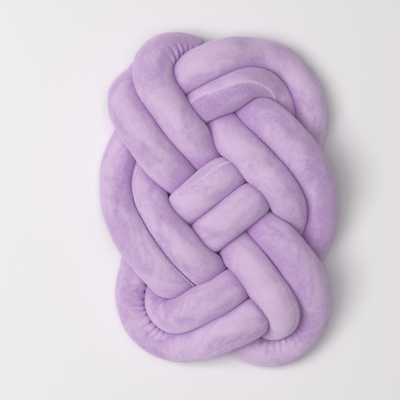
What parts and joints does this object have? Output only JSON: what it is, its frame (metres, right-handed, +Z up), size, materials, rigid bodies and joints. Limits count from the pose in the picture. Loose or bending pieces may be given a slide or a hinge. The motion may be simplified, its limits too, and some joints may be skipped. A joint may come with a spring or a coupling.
{
  "type": "knot cushion",
  "caption": "Flat oval knot cushion: a stuffed velvet tube laid double through an alternating knot, resting on its back.",
  "frame": {"origin": "on the surface the cushion lies on, under the middle of its box", "axes": "+Z up from the surface through the knot's face, +Y along the long side, +X across it"},
  "size_m": [0.2838, 0.3966, 0.0837],
  "materials": {
    "velvet": "short brushed velvet pile in lavender, soft sheen, matt"
  },
  "bodies": {
    "root": {"knot_tube": "velvet"}
  },
  "joints": []
}
